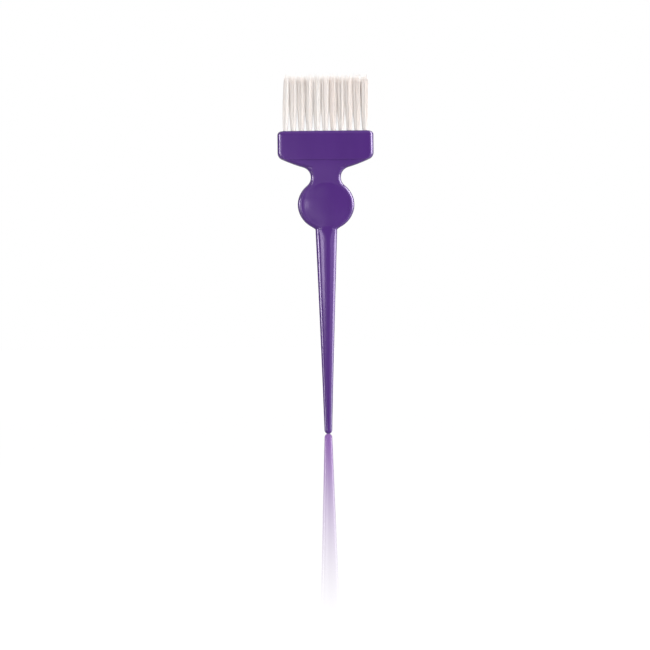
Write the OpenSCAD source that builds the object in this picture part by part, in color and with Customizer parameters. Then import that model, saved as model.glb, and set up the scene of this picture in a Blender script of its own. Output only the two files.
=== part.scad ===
// Tint brush for hair colouring, standing on the tip of its tail.
// +Z runs along the brush to the bristles, X runs across the head and Y through its thickness.
// The origin is the tip of the tail, on the brush's axis. All sizes are in millimetres.

/* [Tail] */
// Length of the tail, from its tip to the lowest point of the thumb disc
tail_l = 122; // [90:0.25:150]
// Width of the tail near its tip
tail_tip_w = 4.4; // [3.6:0.1:6]
// Width of the tail where it meets the disc
tail_top_w = 12.9; // [11:0.1:15]
// How much narrower the tail is halfway up than a straight taper would be
tail_waist = 0.2; // [0:0.05:0.6]
// Thickness of the tail near its tip
tail_tip_t = 4.2; // [3.4:0.1:5]
// Thickness of the tail where it meets the disc
tail_top_t = 8; // [6:0.1:9]

/* [Thumb disc] */
// Width of the thumb disc
disc_w = 33.9; // [30:0.1:38]
// Height of the thumb disc along the brush
disc_h = 31; // [28:0.1:35]
// Thickness of the disc at its rim
disc_rim_t = 6.4; // [5.6:0.1:8]
// How far the thumb pad's crown stands proud of the rim, on each face
pad_h = 0.65; // [0:0.05:1.2]
// Radius of the thumb pad
pad_r = 13.2; // [10:0.1:14]

/* [Neck and shoulders] */
// Radius of the hollow on each side of the neck
neck_r = 6.3; // [5:0.1:8]
// Place on the disc's edge where the neck's hollow starts, as an angle above its widest point
neck_start = 48.2; // [42:0.1:54]
// Slope of the shoulder where it leaves the neck, in degrees
shoulder_slope = 16.5; // [12:0.5:19]
// Width across the shoulders where they meet the head
shoulder_w = 50.8; // [49:0.2:51.4]
// How much steeper the shoulder is where it meets the head, in degrees
shoulder_turn = 7.6; // [2:0.2:12]
// Thickness of the shoulders where they meet the head
shoulder_t = 9; // [8:0.1:9.4]

/* [Head] */
// Width of the head
head_w = 57.6; // [56.8:0.2:62]
// Thickness of the head
head_t = 10; // [9.8:0.1:12]
// Height of the head
head_h = 17.3; // [16:0.1:22]

/* [Bristles] */
// Free length of the bristles above the head
bristle_l = 33.9; // [25:0.1:45]
// Tufts in each row
tufts_per_row = 11; // [5:1:11]
// Distance between neighbouring tufts in a row
tuft_pitch = 4.8; // [4.6:0.1:4.9]
// Distance between the two rows
row_gap = 4.8; // [4.6:0.1:4.8]
// Diameter of the blind hole that holds a tuft
hole_d = 3.2; // [2.8:0.1:3.2]
// Depth of a tuft's hole
hole_depth = 9; // [7:0.5:11]
// Diameter that a tuft spreads to at its tips
tuft_tip_d = 4.3; // [3.4:0.1:4.3]

/* [Anchors] */
// Length of the flat wire anchor that pins a tuft, which bites the hole's wall at both ends
anchor_l = 3.8; // [3.6:0.1:4]
// Thickness of the anchor's wire
anchor_t = 0.35; // [0.25:0.05:0.5]
// Height of the anchor
anchor_h = 1.6; // [1.2:0.1:2]

/* [Hidden] */
$fn = 64;
HANDLE_COLOUR = [0.33, 0.2, 0.48];
BRISTLE_COLOUR = [0.91, 0.88, 0.85];
ANCHOR_COLOUR = [0.74, 0.62, 0.36];

// Fillet of the edge all round the disc, neck and shoulders: its reach across the face and down the side
edge_x = 2.2;
edge_y = 2.9;
// Height of the tail's rounded tip, and how much of the rounding is left off where it stands
tip_h = 2.2;
tip_flat = 0.02;
// Height of the pad's middle above the disc's, and of the place where the disc starts to thicken
pad_rise = 0;
thicken_rise = 4;
// How far the fillet between tail and disc reaches
tail_fillet = 2.5;
// Length over which the tail's oval section turns into the disc's flat one
tail_blend = 13;
// Corner radii of the head: top and bottom as seen from the front, and along its other edges
head_top_r = 2.3;
head_low_r = 4.3;
head_side_r = 2.4;
head_mouth_r = 0.7;
head_step_r = 0.4;
// How far the shoulders run on inside the head
root_h = 2;
// Play between a tuft and its hole, and the chamfer at the hole's mouth
tuft_play = 0.05;
mouth_chamfer = 0.25;
// Clear space under a tuft's fold, and the height of the anchor above the fold's lowest point
fold_gap = 0.2;
anchor_rise = 1.1;
tip_chamfer = 0.8;
cut = 0.01;

// Heights of the features
disc_z = tail_l + disc_h / 2;
// The neck's hollow is an arc that is tangent to the disc's ellipse at this point
join_x = disc_w / 2 * cos(neck_start);
join_z = disc_z + disc_h / 2 * sin(neck_start);
join_normal_x = cos(neck_start) / disc_w;
join_normal_z = sin(neck_start) / disc_h;
join_normal = norm([join_normal_x, join_normal_z]);
neck_x = join_x + neck_r * join_normal_x / join_normal;
neck_z = join_z + neck_r * join_normal_z / join_normal;
// The shoulder starts where the hollow has turned to the shoulder's slope, and is a long arc to the head
shoulder_x0 = neck_x - neck_r * sin(shoulder_slope);
shoulder_z0 = neck_z + neck_r * cos(shoulder_slope);
shoulder_run = shoulder_w / 2 - shoulder_x0;
shoulder_h = shoulder_run * tan(shoulder_slope + shoulder_turn / 2);
shoulder_r = norm([shoulder_run, shoulder_h]) / (2 * sin(shoulder_turn / 2));
shoulder_cx = shoulder_x0 - shoulder_r * sin(shoulder_slope);
shoulder_cz = shoulder_z0 + shoulder_r * cos(shoulder_slope);
head_z = shoulder_z0 + shoulder_h;
top_z = head_z + head_h;
tip_z = top_z + bristle_l;
hole_z = top_z - hole_depth;
fold_z = hole_z + fold_gap;
anchor_z = fold_z + anchor_rise;
tuft_r = hole_d / 2 - tuft_play;

ROWS = ["front", "rear"];
TUFTS = [1:tufts_per_row];
function two_digits(i) = i < 10 ? str("0", i) : str(i);
function tuft_name(row, i) = str("tuft_", row, "_", two_digits(i));
function anchor_name(row, i) = str("anchor_", row, "_", two_digits(i));

function tuft_x(i) = (i - (tufts_per_row + 1) / 2) * tuft_pitch;
function row_y(row) = row == "front" ? -row_gap / 2 : row_gap / 2;

// Outline and thickness of the grip, as functions of the height z
function mix(a, b, s) = a + (b - a) * s;
function ramp(z, z0, z1) = let (s = min(max((z - z0) / (z1 - z0), 0), 1)) s * s * (3 - 2 * s);
function smooth_max(a, b, reach) =
    let (overlap = max(reach - abs(a - b), 0) / reach)
    max(a, b) + overlap * overlap * reach / 4;
function circle_run(r, dz) = sqrt(max(r * r - dz * dz, 0));
function tip_round(z) = z > tip_h ? 1 : sqrt(max(1 - (1 - tip_flat) * pow(1 - z / tip_h, 2), 0));
function waist(z) = let (s = min(z / tail_l, 1)) tail_waist * 4 * s * (1 - s);
function tail_half_w(z) = (mix(tail_tip_w, tail_top_w, z / tail_l) - waist(z)) / 2 * tip_round(z);
function disc_half_w(z) = disc_w / disc_h * circle_run(disc_h / 2, z - disc_z);
function half_w(z) =
    z < disc_z ? smooth_max(tail_half_w(z), disc_half_w(z), tail_fillet)
    : z < join_z ? disc_half_w(z)
    : z < shoulder_z0 ? neck_x - circle_run(neck_r, z - neck_z)
    : z < head_z ? shoulder_cx + circle_run(shoulder_r, z - shoulder_cz)
    : shoulder_w / 2;
function half_t(z) =
    mix(disc_rim_t, shoulder_t, ramp(z, disc_z + thicken_rise, head_z)) / 2;
function tail_half_t(z) = mix(tail_tip_t, tail_top_t, z / tail_l) / 2 * tip_round(z);

// The pad's crown is round as seen from the front, nearly flat in its middle and steeper towards its rim
function pad(x, z) = pad_h * max(1 - pow(norm([x, z - disc_z - pad_rise]) / pad_r, 3), 0);
// The edge's fillet runs further across a level section where the outline slants
function slant(z) = let (dz = 0.05) (half_w(z + dz) - half_w(z - dz)) / (2 * dz);
function fillet_run(z) = min(edge_x * sqrt(1 + pow(slant(z), 2)), half_w(z) * 0.7);

// One level section is a ring of points: an oval in the tail, a filleted plate above it
CORNER_STEPS = 4;
FACE_STEPS = 12;
HALF_STEPS = 2 * CORNER_STEPS + FACE_STEPS;
RING = 2 * (HALF_STEPS + 1);
function oval_point(z, i) =
    let (a = 180 * (i + 0.5) / (HALF_STEPS + 1))
    [half_w(z) * cos(a), tail_half_t(z) * sin(a)];
function corner_point(z, i) =
    let (a = 90 * i / CORNER_STEPS, rise = pad(half_w(z) - fillet_run(z), z))
    [half_w(z) - fillet_run(z) * (1 - cos(a)), half_t(z) - edge_y * (1 - sin(a)) + rise * sin(a)];
function face_point(z, i) =
    let (x = (half_w(z) - fillet_run(z)) * cos(180 * (i - CORNER_STEPS) / FACE_STEPS))
    [x, half_t(z) + pad(x, z)];
function plate_point(z, i) =
    i < CORNER_STEPS ? corner_point(z, i)
    : i <= HALF_STEPS - CORNER_STEPS ? face_point(z, i)
    : let (p = corner_point(z, HALF_STEPS - i)) [-p.x, p.y];
function section_point(z, i) =
    mix(oval_point(z, i), plate_point(z, i), ramp(z, tail_l - tail_blend / 2, tail_l + tail_blend / 2));
function section(z) =
    let (front = [for (i = [0:HALF_STEPS]) section_point(z, i)])
    [for (i = [0:RING - 1])
        let (p = i <= HALF_STEPS ? front[i] : front[RING - 1 - i])
        [p.x, i <= HALF_STEPS ? p.y : -p.y, z]];

// Heights of the sections, closer together where the outline turns
function span(z0, z1, n) = [for (i = [0:n - 1]) z0 + (z1 - z0) * i / n];
function turn(c, r, a0, a1, n) = [for (i = [0:n - 1]) c + r * sin(a0 + (a1 - a0) * i / n)];
STATIONS = concat(
    turn(tip_h, tip_h, -90, 0, 5),
    span(tip_h, tail_l - 6, 12),
    span(tail_l - 6, tail_l + 3, 14),
    turn(disc_z, disc_h / 2, -asin((disc_h / 2 - 3) / (disc_h / 2)), neck_start, 16),
    turn(neck_z, neck_r, -asin((neck_z - join_z) / neck_r), 90 - shoulder_slope, 12),
    span(shoulder_z0, head_z, 8),
    [head_z, head_z + root_h]
);

module grip() {
    rings = len(STATIONS);
    points = [for (z = STATIONS) each section(z)];
    sides = [
        for (k = [0:rings - 2]) for (i = [0:RING - 1])
        let (a = k * RING + i, b = k * RING + (i + 1) % RING)
        each [[a, a + RING, b], [b, a + RING, b + RING]]
    ];
    low_cap = [for (i = [0:RING - 1]) i];
    top_cap = [for (i = [0:RING - 1]) rings * RING - 1 - i];
    polyhedron(points, concat(sides, [low_cap, top_cap]));
}

// A flat rectangle from y0 to y1, with one corner radius below and another above
module round_rect(w, y0, y1, low_r, high_r) {
    for (side = [-1, 1]) {
        translate([side * (w / 2 - low_r), y0 + low_r]) circle(low_r);
        translate([side * (w / 2 - high_r), y1 - high_r]) circle(high_r);
    }
    translate([low_r - w / 2, y0]) square([w - 2 * low_r, low_r + cut]);
    translate([high_r - w / 2, y1 - high_r - cut]) square([w - 2 * high_r, high_r + cut]);
    translate([-w / 2, y0 + low_r]) square([w, y1 - y0 - low_r - high_r]);
}

// The head is what its front, side and top outlines have in common
module head_block() {
    intersection() {
        rotate([90, 0, 0])
            linear_extrude(head_t, center = true)
                round_rect(head_w, head_z, top_z, head_low_r, head_top_r);
        rotate([90, 0, 90])
            linear_extrude(head_w, center = true)
                round_rect(head_t, head_z, top_z, head_step_r, head_mouth_r);
        translate([0, 0, head_z])
            linear_extrude(head_h)
                round_rect(head_w, -head_t / 2, head_t / 2, head_side_r, head_side_r);
    }
}

module tuft_hole() {
    mouth_r = hole_d / 2 + mouth_chamfer;
    translate([0, 0, hole_z]) cylinder(h = hole_depth + cut, d = hole_d);
    translate([0, 0, top_z - mouth_chamfer])
        cylinder(h = mouth_chamfer + cut, r1 = hole_d / 2, r2 = mouth_r + cut);
}

module anchor_blank() {
    translate([-anchor_l / 2, -anchor_t / 2, anchor_z]) cube([anchor_l, anchor_t, anchor_h]);
}

module handle() {
    color(HANDLE_COLOUR) {
        grip();
        difference() {
            head_block();
            for (row = ROWS) for (i = TUFTS)
                translate([tuft_x(i), row_y(row), 0]) {
                    tuft_hole();
                    anchor_blank();
                }
        }
    }
}

// A tuft fills its hole, then spreads slightly to its tips. Its fold is split by the anchor.
module tuft(row, i) {
    tip_r = tuft_tip_d / 2;
    color(BRISTLE_COLOUR)
        translate([tuft_x(i), row_y(row), 0])
            difference() {
                rotate_extrude()
                    polygon([
                        [0, fold_z],
                        [tuft_r, fold_z],
                        [tuft_r, top_z],
                        [tip_r, tip_z - tip_chamfer],
                        [tip_r - tip_chamfer, tip_z],
                        [0, tip_z]
                    ]);
                anchor_blank();
            }
}

module anchor(row, i) {
    color(ANCHOR_COLOUR) translate([tuft_x(i), row_y(row), 0]) anchor_blank();
}

handle();
for (row = ROWS) for (i = TUFTS) {
    tuft(row, i);
    anchor(row, i);
}
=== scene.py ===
"""Tint brush, standing on the tip of its tail on a pale glossy floor.

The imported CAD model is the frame. The handle and the tufts are replaced by finer meshes of the same
shape and place: the handle is lofted from the same outline, and each tuft is a bundle of filaments
that are folded under its anchor. The anchors are the CAD's own, with a metal material.
"""

import math

import bpy
import numpy as np
from mathutils import Matrix, Vector
from mathutils.geometry import tessellate_polygon


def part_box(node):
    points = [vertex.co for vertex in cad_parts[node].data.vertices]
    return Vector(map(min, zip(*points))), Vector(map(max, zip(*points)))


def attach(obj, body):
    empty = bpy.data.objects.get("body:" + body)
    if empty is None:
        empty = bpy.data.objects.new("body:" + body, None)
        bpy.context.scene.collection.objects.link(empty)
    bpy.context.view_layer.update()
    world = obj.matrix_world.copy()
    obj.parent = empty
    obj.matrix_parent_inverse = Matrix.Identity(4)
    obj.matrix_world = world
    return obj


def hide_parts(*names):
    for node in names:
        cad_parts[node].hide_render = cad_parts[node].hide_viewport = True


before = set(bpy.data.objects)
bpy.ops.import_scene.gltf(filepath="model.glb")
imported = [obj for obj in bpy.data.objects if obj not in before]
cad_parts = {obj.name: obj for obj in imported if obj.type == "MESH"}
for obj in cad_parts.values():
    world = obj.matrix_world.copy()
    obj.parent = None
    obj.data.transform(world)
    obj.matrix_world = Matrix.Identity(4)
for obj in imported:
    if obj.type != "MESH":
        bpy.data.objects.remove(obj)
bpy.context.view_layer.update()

MM = 0.001
BODY = "root"

# Places of the CAD's nodes, in millimetres
handle_low, handle_high = (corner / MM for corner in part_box("handle"))
TUFT_ROWS = {"front": [], "rear": []}
for node_name in sorted(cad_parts):
    if node_name.startswith("tuft_"):
        TUFT_ROWS[node_name.split("_")[1]].append(node_name)


def node_centre(name):
    low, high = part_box(name)
    return (low + high) / 2 / MM


# --------------------------------------------------------------------------- handle's sizes, mm
TAIL_L = 122.0
TAIL_TIP_W, TAIL_TOP_W, TAIL_WAIST = 4.4, 12.9, 0.2
TAIL_TIP_T, TAIL_TOP_T = 4.2, 8.0
TIP_H, TIP_FLAT = 2.2, 0.02
TAIL_FILLET, TAIL_BLEND = 2.5, 13.0
DISC_W, DISC_H, DISC_RIM_T = 33.9, 31.0, 6.4
PAD_H, PAD_R = 0.65, 13.2
EDGE_X, EDGE_Y, EDGE_MOST = 2.2, 2.9, 0.7
NECK_R, NECK_START = 6.3, math.radians(48.2)
SHOULDER_SLOPE, SHOULDER_TURN = math.radians(16.5), math.radians(7.6)
SHOULDER_W, SHOULDER_T, THICKEN_RISE = 50.8, 9.0, 4.0
HEAD_W = handle_high.x - handle_low.x
HEAD_T = handle_high.y - handle_low.y
HEAD_TOP_R, HEAD_LOW_R, HEAD_STEP_R, HEAD_PROUD = 2.3, 4.3, 0.4, 0.05
HEAD_MOUTH_Y, HEAD_MOUTH_Z = 0.7, 2.4
HEAD_SIDE_X, HEAD_SIDE_Y = 2.4, 4.2
HEAD_FLAT_W, HEAD_SOFTEN = 32.0, 0.2
TOP_Z = handle_high.z
HOLE_R, HOLE_DEPTH, MOUTH_CHAMFER = 1.6, 9.0, 0.25
PARTING_W, PARTING_H = 0.22, 0.05

# The neck's arc is tangent to the disc where it leaves it, and the shoulder's arc to the neck's
DISC_Z = TAIL_L + DISC_H / 2
JOIN_Z = DISC_Z + DISC_H / 2 * math.sin(NECK_START)
join_normal = np.array([math.cos(NECK_START) / DISC_W, math.sin(NECK_START) / DISC_H])
join_normal /= np.linalg.norm(join_normal)
NECK_X = DISC_W / 2 * math.cos(NECK_START) + NECK_R * join_normal[0]
NECK_Z = JOIN_Z + NECK_R * join_normal[1]
SHOULDER_X0 = NECK_X - NECK_R * math.sin(SHOULDER_SLOPE)
SHOULDER_Z0 = NECK_Z + NECK_R * math.cos(SHOULDER_SLOPE)
shoulder_run = SHOULDER_W / 2 - SHOULDER_X0
shoulder_rise = shoulder_run * math.tan(SHOULDER_SLOPE + SHOULDER_TURN / 2)
SHOULDER_R = math.hypot(shoulder_run, shoulder_rise) / (2 * math.sin(SHOULDER_TURN / 2))
SHOULDER_CX = SHOULDER_X0 - SHOULDER_R * math.sin(SHOULDER_SLOPE)
SHOULDER_CZ = SHOULDER_Z0 + SHOULDER_R * math.cos(SHOULDER_SLOPE)
HEAD_Z = SHOULDER_Z0 + shoulder_rise


# --------------------------------------------------------------------------- handle's outline
def mix(a, b, s):
    return a + (b - a) * s


def ramp(z, z0, z1):
    """A smooth step from 0 at z0 to 1 at z1."""
    s = min(max((z - z0) / (z1 - z0), 0.0), 1.0)
    return s * s * (3 - 2 * s)


def smooth_max(a, b, reach):
    """The larger of two values, with a fillet where they are within reach of each other."""
    overlap = max(reach - abs(a - b), 0) / reach
    return max(a, b) + overlap * overlap * reach / 4


def circle_run(r, dz):
    """Half the chord of a circle at a height dz from its centre."""
    return math.sqrt(max(r * r - dz * dz, 0.0))


def tip_round(z):
    """The share of its full width and thickness that the tail has at height z, near its round tip."""
    if z > TIP_H:
        return 1.0
    return math.sqrt(max(1 - (1 - TIP_FLAT) * (1 - z / TIP_H) ** 2, 0.0))


def waist(z):
    """How much narrower than a straight taper the tail is."""
    s = min(z / TAIL_L, 1.0)
    return TAIL_WAIST * 4 * s * (1 - s)


def half_w(z):
    """Half the handle's width at height z, below the head."""
    if z < DISC_Z:
        tail = (mix(TAIL_TIP_W, TAIL_TOP_W, z / TAIL_L) - waist(z)) / 2 * tip_round(z)
        disc = DISC_W / DISC_H * circle_run(DISC_H / 2, z - DISC_Z)
        return smooth_max(tail, disc, TAIL_FILLET)
    if z < JOIN_Z:
        return DISC_W / DISC_H * circle_run(DISC_H / 2, z - DISC_Z)
    if z < SHOULDER_Z0:
        return NECK_X - circle_run(NECK_R, z - NECK_Z)
    return SHOULDER_CX + circle_run(SHOULDER_R, min(z, HEAD_Z) - SHOULDER_CZ)


def half_t(z):
    """Half the thickness of the disc, the neck and the shoulders at height z."""
    return mix(DISC_RIM_T, SHOULDER_T, ramp(z, DISC_Z + THICKEN_RISE, HEAD_Z)) / 2


def pad(x, z):
    """The shallow crown of the thumb pad, nearly flat in its middle and steeper towards its rim."""
    r = math.hypot(x, z - DISC_Z) / PAD_R
    return PAD_H * max(1 - r**3, 0.0)


def fillet_run(z):
    """The edge's fillet along X. It is square to the outline, so it runs further where that slants."""
    dz = 0.02
    slant = (half_w(z + dz) - half_w(z - dz)) / (2 * dz)
    return min(EDGE_X * math.hypot(1, slant), half_w(z) * EDGE_MOST)


# --------------------------------------------------------------------------- handle's sections
CORNER_STEPS = 16
FACE_STEPS = 28
HALF_STEPS = 2 * CORNER_STEPS + FACE_STEPS


def plate_half(w, t, run_x, run_y, crown=lambda x: 0.0):
    """The +Y half of a filleted plate's section, from its right edge round to its left edge."""
    corner = []
    rise = crown(w - run_x)
    for i in range(CORNER_STEPS):
        a = math.pi / 2 * i / CORNER_STEPS
        x = w - run_x * (1 - math.cos(a))
        y = t - run_y * (1 - math.sin(a)) + rise * math.sin(a)
        corner.append((x, y))
    face = []
    for i in range(FACE_STEPS + 1):
        x = (w - run_x) * math.cos(math.pi * i / FACE_STEPS)
        face.append((x, t + crown(x)))
    return corner + face + [(-x, y) for x, y in reversed(corner)]


def oval_half(w, t):
    """The +Y half of an oval section, with as many points as a plate's."""
    angles = [math.pi * (i + 0.5) / (HALF_STEPS + 1) for i in range(HALF_STEPS + 1)]
    return [(w * math.cos(a), t * math.sin(a)) for a in angles]


def grip_half(z):
    """Half a section of the tail, disc, neck or shoulders: an oval that turns into a filleted plate."""
    w = half_w(z)
    tail_t = mix(TAIL_TIP_T, TAIL_TOP_T, z / TAIL_L) / 2 * tip_round(z)
    s = ramp(z, TAIL_L - TAIL_BLEND / 2, TAIL_L + TAIL_BLEND / 2)
    oval = oval_half(w, tail_t)
    plate = plate_half(w, half_t(z), fillet_run(z), EDGE_Y, lambda x: pad(x, z))
    return [(mix(a[0], b[0], s), mix(a[1], b[1], s)) for a, b in zip(oval, plate)]


def soften(x):
    """How far the head's faces fall away towards their ends."""
    flat = HEAD_FLAT_W / 2
    share = max(x - flat, 0) / (HEAD_W / 2 - HEAD_SIDE_X - flat)
    return HEAD_SOFTEN * share**2


def head_half(z):
    """Half a section of the head, with its corners rounded as seen from the front, side and top."""
    up, down = z - HEAD_Z, TOP_Z - z
    w = HEAD_W / 2
    if up < HEAD_LOW_R:
        w = HEAD_W / 2 - HEAD_LOW_R + circle_run(HEAD_LOW_R, HEAD_LOW_R - up)
    if down < HEAD_TOP_R:
        w = HEAD_W / 2 - HEAD_TOP_R + circle_run(HEAD_TOP_R, HEAD_TOP_R - down)
    t = HEAD_T / 2
    if up < HEAD_STEP_R:
        t = HEAD_T / 2 - HEAD_STEP_R + circle_run(HEAD_STEP_R, HEAD_STEP_R - up)
    if down < HEAD_MOUTH_Z:
        t = HEAD_T / 2 - HEAD_MOUTH_Y + HEAD_MOUTH_Y * circle_run(1, 1 - down / HEAD_MOUTH_Z)
    w = max(w, SHOULDER_W / 2 + HEAD_PROUD)
    half = plate_half(w, t, HEAD_SIDE_X, HEAD_SIDE_Y)
    return [(x, y - soften(min(abs(x), w - HEAD_SIDE_X)) * max(y, 0) / t) for x, y in half]


def ring_of(half, z, ridge):
    """A whole section from its half, with the mould's parting line as a fine ridge on each side."""
    w, y = half[0]
    lip = min(PARTING_W / 2, y / 2)
    right = [(w, -lip), (w + ridge, 0.0), (w, lip)]
    left = [(-x, -y) for x, y in right]
    front = [(x, -y) for x, y in reversed(half)]
    return [(x, y, z) for x, y in right + half + left + front]


# --------------------------------------------------------------------------- heights of the sections
# The tail's sections are close together from this far below the disc's foot to this far above it
TAIL_FINE_BELOW, TAIL_FINE_ABOVE = 8, 4


def span(z0, z1, n):
    """A number of even steps that start at z0 and stop one step short of z1."""
    return [z0 + (z1 - z0) * i / n for i in range(n)]


def turn(centre, r, a0, a1, n):
    """Heights at even angles on an arc, from a0 to one step short of a1. Angle 0 is level."""
    return [centre + r * math.sin(a0 + (a1 - a0) * i / n) for i in range(n)]


def grip_stations():
    """Heights of the sections below the head, with each stretch's count of them as its last value."""
    quarter = math.pi / 2
    disc_start = -math.asin((DISC_H / 2 - TAIL_FINE_ABOVE) / (DISC_H / 2))
    neck_start = -math.asin((NECK_Z - JOIN_Z) / NECK_R)
    return (
        turn(TIP_H, TIP_H, -quarter, 0, 16)
        + span(TIP_H, TAIL_L - TAIL_FINE_BELOW, 90)
        + span(TAIL_L - TAIL_FINE_BELOW, TAIL_L + TAIL_FINE_ABOVE, 56)
        + turn(DISC_Z, DISC_H / 2, disc_start, NECK_START, 76)
        + turn(NECK_Z, NECK_R, neck_start, quarter - SHOULDER_SLOPE, 52)
        + span(SHOULDER_Z0, HEAD_Z, 60)
        + [HEAD_Z]
    )


def head_stations():
    """Heights of the head's sections, from its step over the shoulders to its rounded mouth."""
    quarter = math.pi / 2
    step_end = math.acos(1 - HEAD_STEP_R / HEAD_LOW_R)
    step_turn = [HEAD_Z + HEAD_STEP_R * (1 - math.cos(a)) for a in span(0, quarter, 6)]
    low_turn = [HEAD_Z + HEAD_LOW_R * (1 - math.cos(a)) for a in span(step_end, quarter, 16)]
    middle = span(HEAD_Z + HEAD_LOW_R, TOP_Z - HEAD_MOUTH_Z, 12)
    mouth_turn = [TOP_Z - HEAD_MOUTH_Z * (1 - math.sin(a)) for a in span(0, quarter, 20)]
    return step_turn + low_turn + middle + mouth_turn + [TOP_Z]


# --------------------------------------------------------------------------- mesh helpers
def new_object(name, verts, faces):
    """An object in metres from points in millimetres."""
    mesh = bpy.data.meshes.new(name)
    mesh.from_pydata([tuple(c * MM for c in v) for v in verts], [], faces)
    mesh.validate()
    mesh.update()
    mesh.shade_smooth()
    obj = bpy.data.objects.new(name, mesh)
    bpy.context.scene.collection.objects.link(obj)
    return obj


def bridge(faces, a, b, count):
    """Quads between two rings of count points that start at a and b."""
    for i in range(count):
        j = (i + 1) % count
        faces.append((a + i, a + j, b + j, b + i))


def circle(cx, cy, r, z, count):
    angles = [2 * math.pi * i / count for i in range(count)]
    return [(cx + r * math.cos(a), cy + r * math.sin(a), z) for a in angles]


# --------------------------------------------------------------------------- handle
HOLE_SIDES = 28
SHARP_DEGREES = 38


def drill_holes(verts, faces, rim):
    """The tufts' blind holes, and the top face that fills the rim round their mouths."""
    loops = [rim]
    for name in TUFT_ROWS["front"] + TUFT_ROWS["rear"]:
        x, y, _ = node_centre(name)
        mouth = len(verts)
        neck = mouth + HOLE_SIDES
        bottom = neck + HOLE_SIDES
        verts += circle(x, y, HOLE_R + MOUTH_CHAMFER, TOP_Z, HOLE_SIDES)
        verts += circle(x, y, HOLE_R, TOP_Z - MOUTH_CHAMFER, HOLE_SIDES)
        verts += circle(x, y, HOLE_R, TOP_Z - HOLE_DEPTH, HOLE_SIDES)
        bridge(faces, mouth, neck, HOLE_SIDES)
        bridge(faces, neck, bottom, HOLE_SIDES)
        faces.append(tuple(range(bottom, bottom + HOLE_SIDES)))
        loops.append(list(reversed(range(mouth, neck))))
    flat = [i for loop in loops for i in loop]
    triangles = tessellate_polygon([[Vector(verts[i]) for i in loop] for loop in loops])
    for a, b, c in triangles:
        corner = [flat[a], flat[b], flat[c]]
        pa, pb, pc = (Vector(verts[i]) for i in corner)
        faces.append(tuple(corner if (pb - pa).cross(pc - pa).z > 0 else reversed(corner)))


def make_handle():
    """The moulding, lofted up through its sections, with a closed tip and a drilled top."""
    verts, faces = [], []
    rings = [ring_of(grip_half(z), z, PARTING_H * ramp(z, 0, TIP_H)) for z in grip_stations()]
    rings += [ring_of(head_half(z), z, PARTING_H) for z in head_stations()]
    count = len(rings[0])
    for ring in rings:
        verts += ring
    faces.append(tuple(reversed(range(count))))
    for k in range(len(rings) - 1):
        bridge(faces, k * count, (k + 1) * count, count)
    drill_holes(verts, faces, list(range(len(verts) - count, len(verts))))
    handle = new_object("handle_moulding", verts, faces)
    handle.data.set_sharp_from_angle(angle=math.radians(SHARP_DEGREES))
    return handle


# --------------------------------------------------------------------------- bristles, mm
FILAMENT_R = 0.105
FOLDED_PER_TUFT = 92
FILAMENT_SIDES = 5
FREE_STEPS = 10
FOLD_STEPS = 6
BUNDLE_R = 1.48
ANCHOR_CLEAR = 0.3
GOLDEN_ANGLE = math.pi * (3 - math.sqrt(5))
ALONG = np.linspace(0, 1, FREE_STEPS + 1)

# How far a tuft opens out above its hole, as a share of each root's distance from the hole's middle
OPENING_X, OPENING_Y, OPENING_VARY = 0.68, 0.5, 0.06
FIRST_OPENING_X = 0.25
# A tuft opens out mostly near its hole, and leans over mostly near its tip
OPENING_CURVE, LEAN_CURVE = 3, 1.5
# How far a tip leans over. The tufts between the first and last lean in by a share of their own X
FIRST_LEAN, LAST_LEAN, LEAN_IN = 1.3, 0.35, 0.012
TUFT_LEAN_VARY, CLUMP_LEAN, FILAMENT_LEAN_VARY = 0.1, 0.16, 0.08
BOW_VARY = 0.07
# Strands of filaments that lean together and share a shade
CLUMPS = 7
# A filament's free length is at most this share of its tuft's, less a random part, mostly a large one
LENGTH_MOST, LENGTH_LOSS, LOSS_SKEW = 1.036, 0.133, 0.4
# The last part of a filament thins towards its tip
TAPER_START, TAPER_LOSS, TAPER_CURVE = 0.72, 0.6, 1.5
# The innermost filaments' fold is this share as deep as the outermost ones'
FOLD_LEAST = 0.35
SHADE_MIDDLE, TUFT_SHADE_VARY, CLUMP_SHADE, FILAMENT_SHADE_VARY = 0.5, 0.05, 0.12, 0.06


def tube(path, radii, sides):
    """The points of a tube's rings along a path."""
    path = np.asarray(path)
    along = np.gradient(path, axis=0)
    along /= np.linalg.norm(along, axis=1)[:, None]
    side = np.array([1.0, 0.0, 0.0]) - along * along[:, :1]
    side /= np.linalg.norm(side, axis=1)[:, None]
    other = np.cross(along, side)
    angles = (np.arange(sides) * 2 * math.pi / sides)[None, :, None]
    ring = side[:, None] * np.cos(angles) + other[:, None] * np.sin(angles)
    points = path[:, None] + ring * np.asarray(radii)[:, None, None]
    return points.reshape(-1, 3)


def tube_faces(rings, sides, first):
    """The wall and the two end caps of a tube whose points start at first."""
    faces = []
    for k in range(rings - 1):
        bridge(faces, first + k * sides, first + (k + 1) * sides, sides)
    faces.append(tuple(first + i for i in reversed(range(sides))))
    faces.append(tuple(first + (rings - 1) * sides + i for i in range(sides)))
    return faces


def free_leg(root, spread, lean, length, rng):
    """The free end of a filament, from its root in the hole's mouth up to its tip."""
    open_out = 1 - (1 - ALONG) ** OPENING_CURVE
    lean_over = ALONG**LEAN_CURVE
    bow = rng.normal(0, BOW_VARY, 2)
    path = np.zeros((len(ALONG), 3))
    for axis in (0, 1):
        path[:, axis] = root[axis] * (1 + spread[axis] * open_out) + lean[axis] * lean_over
        path[:, axis] += bow[axis] * np.sin(math.pi * ALONG)
    path[:, 2] = TOP_Z + length * ALONG
    return path


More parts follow.
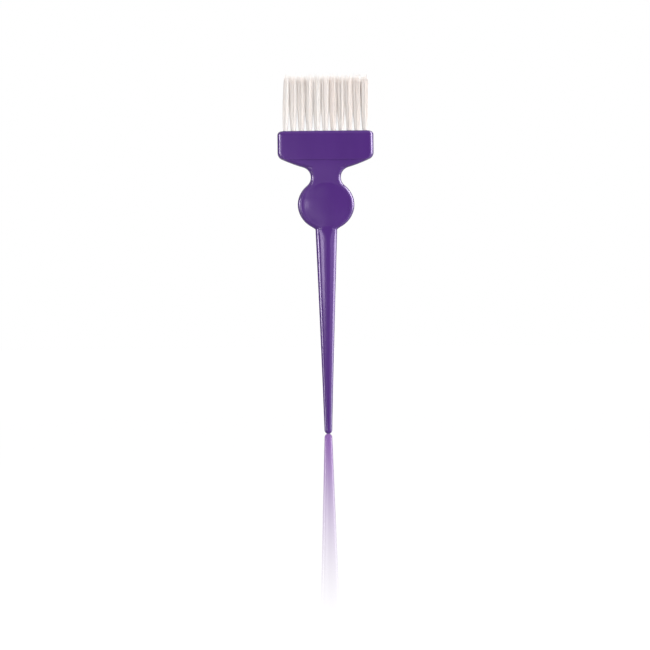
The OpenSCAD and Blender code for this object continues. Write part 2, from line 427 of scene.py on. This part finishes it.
def fold_under(root, anchor_z, low_z):
    """The half turn that takes a filament under its anchor, from the -Y side to the +Y side."""
    angle = np.linspace(0, math.pi, FOLD_STEPS + 1)
    depth = (anchor_z - low_z - FILAMENT_R) * (FOLD_LEAST + (1 - FOLD_LEAST) * root[1] / BUNDLE_R)
    x = np.full(FOLD_STEPS + 1, root[0])
    return np.stack([x, -root[1] * np.cos(angle), anchor_z - depth * np.sin(angle)], axis=1)


def make_tuft(name, seed):
    """A bundle of filaments, each folded under the tuft's anchor so that both its ends stand free."""
    rng = np.random.default_rng(seed)
    low, high = (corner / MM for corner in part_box(name))
    anchor_low, _ = (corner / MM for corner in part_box(name.replace("tuft", "anchor")))
    x, y, _ = node_centre(name)
    free_l = high.z - TOP_Z
    row = TUFT_ROWS[name.split("_")[1]]
    opening = np.array([FIRST_OPENING_X if name == row[0] else OPENING_X, OPENING_Y])
    lean_x = {row[0]: FIRST_LEAN, row[-1]: LAST_LEAN}.get(name, -LEAN_IN * x)
    tuft_lean = rng.normal(0, TUFT_LEAN_VARY, 2) + (lean_x, 0)
    tuft_shade = rng.normal(0, TUFT_SHADE_VARY)
    clumps = rng.uniform(-1, 1, (CLUMPS, 4))
    clump_x, clump_lean, clump_shade = clumps[:, 0] * BUNDLE_R, clumps[:, 1:3], clumps[:, 3]
    tip_taper = 1 - TAPER_LOSS * np.clip((ALONG - TAPER_START) / (1 - TAPER_START), 0, 1) ** TAPER_CURVE
    radii = FILAMENT_R * np.concatenate([tip_taper[::-1], np.ones(FOLD_STEPS + 1), tip_taper])
    verts, faces, shades = [], [], []
    for k in range(FOLDED_PER_TUFT):
        # Roots fill the half disc on each side of the anchor evenly
        r = BUNDLE_R * math.sqrt((k + 0.5) / FOLDED_PER_TUFT)
        a = k * GOLDEN_ANGLE % math.pi
        root = np.array([r * math.cos(a), max(r * math.sin(a), ANCHOR_CLEAR)])
        near = int(np.argmin(np.abs(clump_x - root[0])))
        legs = []
        for facing in (-1, 1):
            spread = opening + OPENING_VARY * rng.normal(size=2)
            lean = tuft_lean + CLUMP_LEAN * clump_lean[near] + rng.normal(0, FILAMENT_LEAN_VARY, 2)
            length = free_l * (LENGTH_MOST - LENGTH_LOSS * rng.uniform() ** LOSS_SKEW)
            legs.append(free_leg(root * (1, facing), spread, lean, length, rng))
        path = np.concatenate([legs[0][::-1], fold_under(root, anchor_low.z, low.z), legs[1]])
        path[:, 0] += x
        path[:, 1] += y
        first = len(verts)
        verts += list(map(tuple, tube(path, radii, FILAMENT_SIDES)))
        faces += tube_faces(len(path), FILAMENT_SIDES, first)
        shade = SHADE_MIDDLE + tuft_shade + CLUMP_SHADE * clump_shade[near]
        shade += rng.normal(0, FILAMENT_SHADE_VARY)
        shades += [shade] * (len(verts) - first)
    tuft = new_object(name.replace("tuft", "bristles"), verts, faces)
    colour = tuft.data.attributes.new("shade", "FLOAT", "POINT")
    colour.data.foreach_set("value", np.asarray(shades, np.float32))
    return tuft


# --------------------------------------------------------------------------- node helpers
# Where nearly all of a noise texture's values and the filaments' shades lie
SPREAD_LOW, SPREAD_HIGH = 0.3, 0.7


def new_material(name):
    material = bpy.data.materials.new(name)
    material.use_nodes = True
    nodes = material.node_tree.nodes
    return material, nodes, material.node_tree.links, nodes["Principled BSDF"]


def noise(nodes, links, coords, scale, detail, stretch=None):
    """Noise in the object's own space. A stretch under 1 draws it out along that axis."""
    texture = nodes.new("ShaderNodeTexNoise")
    texture.inputs["Scale"].default_value = scale
    texture.inputs["Detail"].default_value = detail
    source = coords.outputs["Object"]
    if stretch:
        mapping = nodes.new("ShaderNodeMapping")
        mapping.inputs["Scale"].default_value = stretch
        links.new(source, mapping.inputs["Vector"])
        source = mapping.outputs["Vector"]
    links.new(source, texture.inputs["Vector"])
    return texture.outputs["Fac"]


def map_range(nodes, links, value, start, end, low, high):
    """A value that goes from low to high, and no further, while the input goes from start to end."""
    node = nodes.new("ShaderNodeMapRange")
    node.inputs["From Min"].default_value = start
    node.inputs["From Max"].default_value = end
    node.inputs["To Min"].default_value = low
    node.inputs["To Max"].default_value = high
    links.new(value, node.inputs["Value"])
    return node.outputs["Result"]


def maths(nodes, links, operation, *values, clamp=False):
    """A Math node on sockets or numbers."""
    node = nodes.new("ShaderNodeMath")
    node.operation = operation
    node.use_clamp = clamp
    for socket, value in zip(node.inputs, values):
        if isinstance(value, (int, float)):
            socket.default_value = value
        else:
            links.new(value, socket)
    return node.outputs["Value"]


def tinted(nodes, links, factor, start, end):
    """A colour that goes from start to end with the factor."""
    node = nodes.new("ShaderNodeMixRGB")
    node.inputs["Color1"].default_value = (*start, 1)
    node.inputs["Color2"].default_value = (*end, 1)
    links.new(factor, node.inputs["Fac"])
    return node.outputs["Color"]


def two_colours(nodes, links, value, low, high):
    """A colour that varies between two close ones with a noise or a shade."""
    node = nodes.new("ShaderNodeValToRGB")
    node.color_ramp.elements[0].position = SPREAD_LOW
    node.color_ramp.elements[0].color = (*low, 1)
    node.color_ramp.elements[1].position = SPREAD_HIGH
    node.color_ramp.elements[1].color = (*high, 1)
    links.new(value, node.inputs["Fac"])
    return node.outputs["Color"]


def level_by_ray(nodes, links, camera, diffuse, gloss):
    """A brightness that differs for the camera, for diffuse light and for reflections."""
    path = nodes.new("ShaderNodeLightPath")
    level = maths(nodes, links, "MULTIPLY", path.outputs["Is Camera Ray"], camera)
    level = maths(nodes, links, "MULTIPLY_ADD", path.outputs["Is Diffuse Ray"], diffuse, level)
    return maths(nodes, links, "MULTIPLY_ADD", path.outputs["Is Glossy Ray"], gloss, level)


# --------------------------------------------------------------------------- materials
def plastic_material():
    """Gloss purple moulding: slight colour flow, a polished skin and fine rubbing along its length."""
    material, nodes, links, shader = new_material("purple_moulding")
    coords = nodes.new("ShaderNodeTexCoord")
    flow = noise(nodes, links, coords, scale=60, detail=3, stretch=(1, 1, 0.35))
    deep, light = (0.0610, 0.0154, 0.158), (0.0690, 0.0178, 0.174)
    links.new(two_colours(nodes, links, flow, deep, light), shader.inputs["Base Color"])
    rub = noise(nodes, links, coords, scale=900, detail=6, stretch=(1, 1, 0.06))
    roughness = map_range(nodes, links, rub, SPREAD_LOW, SPREAD_HIGH, 0.13, 0.2)
    links.new(roughness, shader.inputs["Roughness"])
    skin = noise(nodes, links, coords, scale=420, detail=3)
    bump = nodes.new("ShaderNodeBump")
    bump.inputs["Strength"].default_value = 0.03
    bump.inputs["Distance"].default_value = 0.0002
    links.new(skin, bump.inputs["Height"])
    links.new(bump.outputs["Normal"], shader.inputs["Normal"])
    shader.inputs["IOR"].default_value = 1.55
    shader.inputs["Specular Tint"].default_value = (0.88, 0.76, 1.0, 1)
    return material


def bristle_material():
    """Off-white nylon filament: each one its own shade, faintly translucent, with a satin skin."""
    material, nodes, links, shader = new_material("nylon_filament")
    coords = nodes.new("ShaderNodeTexCoord")
    attribute = nodes.new("ShaderNodeAttribute")
    attribute.attribute_name = "shade"
    cream, white = (0.955, 0.875, 0.83), (1.0, 0.968, 0.945)
    colour = two_colours(nodes, links, attribute.outputs["Fac"], cream, white)
    links.new(colour, shader.inputs["Base Color"])
    streak = noise(nodes, links, coords, scale=1500, detail=3, stretch=(1, 1, 0.1))
    roughness = map_range(nodes, links, streak, SPREAD_LOW, SPREAD_HIGH, 0.3, 0.5)
    links.new(roughness, shader.inputs["Roughness"])
    shader.inputs["IOR"].default_value = 1.53
    shader.inputs["Subsurface Weight"].default_value = 0.3
    shader.inputs["Subsurface Radius"].default_value = (1.0, 0.9, 0.8)
    shader.inputs["Subsurface Scale"].default_value = 0.0006
    return material


def anchor_material():
    """Flat rolled brass wire, with drawing lines along its length and a slight tarnish."""
    material, nodes, links, shader = new_material("brass_wire")
    coords = nodes.new("ShaderNodeTexCoord")
    tarnish = noise(nodes, links, coords, scale=700, detail=4)
    dull, bright = (0.42, 0.29, 0.12), (0.6, 0.46, 0.2)
    links.new(two_colours(nodes, links, tarnish, dull, bright), shader.inputs["Base Color"])
    shader.inputs["Metallic"].default_value = 1.0
    drawn = noise(nodes, links, coords, scale=2500, detail=4, stretch=(0.05, 1, 1))
    roughness = map_range(nodes, links, drawn, SPREAD_LOW, SPREAD_HIGH, 0.22, 0.42)
    links.new(roughness, shader.inputs["Roughness"])
    return material


def floor_material():
    """White gloss acrylic that is mirror-like near the brush and plain white further off."""
    gloss_reach, gloss_fall, gloss_gain = 1.03, 2.6, 1.13
    material = bpy.data.materials.new("white_acrylic_floor")
    material.use_nodes = True
    nodes, links = material.node_tree.nodes, material.node_tree.links
    nodes.clear()
    output = nodes.new("ShaderNodeOutputMaterial")
    coords = nodes.new("ShaderNodeTexCoord")
    length = nodes.new("ShaderNodeVectorMath")
    length.operation = "LENGTH"
    links.new(coords.outputs["Object"], length.inputs[0])
    distance = length.outputs["Value"]
    # How much the floor mirrors: none past gloss_reach metres, and more at a low angle of view
    share = maths(nodes, links, "DIVIDE", distance, gloss_reach)
    fall = maths(nodes, links, "POWER", share, gloss_fall)
    fade = maths(nodes, links, "MULTIPLY_ADD", fall, -gloss_gain, gloss_gain)
    fresnel = nodes.new("ShaderNodeFresnel")
    fresnel.inputs["IOR"].default_value = 1.5
    amount = maths(nodes, links, "MULTIPLY", fade, fresnel.outputs["Fac"], clamp=True)
    # The floor glows white to the camera, and less to the brush. Where it mirrors, the mirror's tint and
    # what is left of the glow add up to white, so a white room leaves no edge to the gloss. The glow and
    # diffuse colour left there are violet: a painted reflection colour that makes the brush's mirrored
    # image more violet than the mirror alone would
    mirror_tint, painted_violet_glow = (0.88, 1, 0.8), (0.12, 0, 0.2)
    body_bare, painted_violet_body = (0.08, 0.08, 0.08), (0.01, 0, 0.016)
    to_camera = map_range(nodes, links, distance, 0.3, 1.2, 0.93, 1.0)
    to_diffuse, to_gloss = 0.8, 0.4
    glow = nodes.new("ShaderNodeEmission")
    strength = level_by_ray(nodes, links, to_camera, to_diffuse, to_gloss)
    links.new(strength, glow.inputs["Strength"])
    # Painted violet glow where the floor mirrors, which tints the brush's reflection
    links.new(tinted(nodes, links, amount, (1, 1, 1), painted_violet_glow), glow.inputs["Color"])
    body = nodes.new("ShaderNodeBsdfDiffuse")
    # Painted violet diffuse colour where the floor mirrors
    links.new(tinted(nodes, links, amount, body_bare, painted_violet_body), body.inputs["Color"])
    mirror = nodes.new("ShaderNodeBsdfGlossy")
    links.new(tinted(nodes, links, amount, (0, 0, 0), mirror_tint), mirror.inputs["Color"])
    mirror.inputs["Roughness"].default_value = 0.03
    total = glow.outputs["Emission"]
    for layer in (body, mirror):
        both = nodes.new("ShaderNodeAddShader")
        links.new(total, both.inputs[0])
        links.new(layer.outputs["BSDF"], both.inputs[1])
        total = both.outputs["Shader"]
    links.new(total, output.inputs["Surface"])
    material.cycles.emission_sampling = "NONE"
    return material


# --------------------------------------------------------------------------- studio, m
FLOOR_HALF = 6.0
# The room's white sides: their axis, and the part of a ray's direction along it where each starts
# and is full. They are the ceiling, a panel at the back and a panel on the left
WHITE_SIDES = (("Z", 0.22, 0.42), ("Y", 0.97, 0.985), ("X", -0.96, -0.975))
ROOM_DIM, ROOM_DIFFUSE = 0.2, 0.93
SOFTBOX_DISTANCE, KEY_DISTANCE = 0.8, 0.9
# Name, azimuth, width, low edge, high edge, radiance, and whether the floor mirrors it
SOFTBOXES = (
    ("left_tail", -33, 0.40, 0.06, 0.132, 7.5, True),
    ("left_front", -29, 0.49, 0.144, 0.208, 5.5, True),
    ("left_fill", -7, 0.17, 0.02, 0.215, 0.8, False),
    ("left_high", -33, 0.40, 0.222, 0.28, 9.0, True),
    ("left_low", -78, 0.20, 0.01, 0.13, 17.0, True),
    ("left_side", -78, 0.20, 0.13, 0.36, 27.0, True),
    ("right_low", 50, 0.62, 0.0, 0.13, 1.1, True),
    ("right_front", 50, 0.62, 0.13, 0.70, 2.2, True),
    ("right_side", 94, 0.58, 0.0, 0.14, 9.0, True),
    ("right_high", 94, 0.58, 0.14, 1.1, 15.0, True),
)


def make_floor():
    corners = [(-1, -1), (1, -1), (1, 1), (-1, 1)]
    verts = [(x * FLOOR_HALF / MM, y * FLOOR_HALF / MM, 0) for x, y in corners]
    floor = new_object("floor", verts, [(0, 1, 2, 3)])
    floor.data.materials.append(floor_material())


def make_world():
    """White to the camera and to diffuse light. Reflections see a dim room with white sides."""
    world = bpy.data.worlds.new("studio")
    bpy.context.scene.world = world
    world.use_nodes = True
    nodes, links = world.node_tree.nodes, world.node_tree.links
    coords = nodes.new("ShaderNodeTexCoord")
    parts = nodes.new("ShaderNodeSeparateXYZ")
    links.new(coords.outputs["Generated"], parts.inputs[0])
    gloss = 0.0
    for axis, start, full in WHITE_SIDES:
        side = map_range(nodes, links, parts.outputs[axis], start, full, ROOM_DIM, 1.0)
        gloss = maths(nodes, links, "MAXIMUM", gloss, side)
    level = level_by_ray(nodes, links, 1.0, ROOM_DIFFUSE, gloss)
    links.new(level, nodes["Background"].inputs["Strength"])
    nodes["Background"].inputs["Color"].default_value = (1, 1, 1, 1)
    world.cycles.sampling_method = "NONE"


def area_light(name, azimuth, distance, width, low, high, radiance):
    """An upright rectangle that faces the brush. Azimuth 0 is towards the camera and 90 to the right."""
    a = math.radians(azimuth)
    light = bpy.data.lights.new(name, "AREA")
    light.shape = "RECTANGLE"
    light.size = width
    light.size_y = high - low
    light.energy = radiance * math.pi * width * (high - low)
    obj = bpy.data.objects.new(name, light)
    obj.location = (distance * math.sin(a), -distance * math.cos(a), (low + high) / 2)
    obj.rotation_euler = (math.radians(90), 0, a)
    bpy.context.scene.collection.objects.link(obj)
    return obj


def make_lights(brush_pieces):
    """Softboxes that only make highlights, and a key light that makes none."""
    for name, azimuth, width, low, high, radiance, in_floor in SOFTBOXES:
        box = area_light(name, azimuth, SOFTBOX_DISTANCE, width, low, high, radiance)
        box.visible_diffuse = False
        if not in_floor:
            box.light_linking.receiver_collection = brush_pieces
    key = area_light("key", 55, KEY_DISTANCE, 0.8, 0.1, 0.9, 3.0)
    key.visible_glossy = False


def make_camera():
    """Level, far off and nearly straight on, with the slight roll that the view has."""
    lens, distance = 147.6, 1.6
    height, aside, roll = 0.0653, -0.00138, math.radians(-0.58)
    data = bpy.data.cameras.new("camera")
    data.lens = lens
    data.sensor_width = 36.0
    camera = bpy.data.objects.new("camera", data)
    place = Matrix.Translation((aside, -distance, height))
    upright = Matrix.Rotation(math.radians(90), 4, "X")
    camera.matrix_world = place @ upright @ Matrix.Rotation(roll, 4, "Z")
    bpy.context.scene.collection.objects.link(camera)
    bpy.context.scene.camera = camera


# --------------------------------------------------------------------------- build
brush_pieces = bpy.data.collections.new("brush_pieces")
make_camera()
make_world()
make_floor()
make_lights(brush_pieces)

plastic = plastic_material()
handle = make_handle()
handle.data.materials.append(plastic)
brush_pieces.objects.link(handle)
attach(handle, BODY)
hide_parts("handle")

nylon = bristle_material()
SEEDS_PER_ROW = 100
for row_number, names in enumerate(TUFT_ROWS.values()):
    for place, tuft_name in enumerate(names):
        bristles = make_tuft(tuft_name, SEEDS_PER_ROW * row_number + place)
        bristles.data.materials.append(nylon)
        brush_pieces.objects.link(bristles)
        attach(bristles, BODY)
        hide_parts(tuft_name)

brass = anchor_material()
for node_name, node_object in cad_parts.items():
    if node_name.startswith("anchor_"):
        node_object.data.materials.clear()
        node_object.data.materials.append(brass)
        brush_pieces.objects.link(node_object)

scene = bpy.context.scene
scene.view_settings.view_transform = "Standard"
# White bristles pass light on to each other many times
scene.cycles.diffuse_bounces = 8
